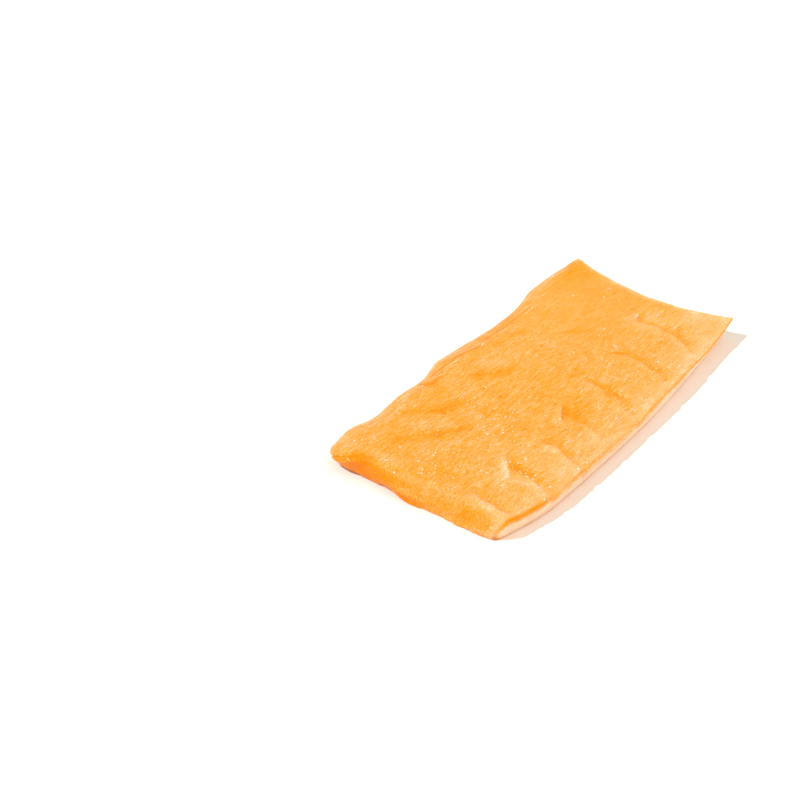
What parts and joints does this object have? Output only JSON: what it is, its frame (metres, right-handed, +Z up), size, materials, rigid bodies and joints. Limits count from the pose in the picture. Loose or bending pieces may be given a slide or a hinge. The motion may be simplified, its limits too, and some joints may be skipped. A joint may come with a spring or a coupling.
{
  "type": "salmon sashimi slice",
  "caption": "Flat slice of raw salmon cut on the bias, with low curved flake steps, a thin overhanging lip and a rounded nose at one corner.",
  "frame": {"origin": "centre of the base, on the board that the slice lies on", "axes": "+X along the slice's long side towards its hollowed end, +Y towards the bevelled rim, +Z up from the broad flat underside"},
  "size_m": [0.0846, 0.0444, 0.0055],
  "materials": {
    "salmon_flesh": "moist, softly glossy raw fish, bright yellow-orange, a little paler along the flake seams and deeper at the torn pits"
  },
  "bodies": {
    "root": {"salmon_slice": "salmon_flesh"}
  },
  "joints": []
}
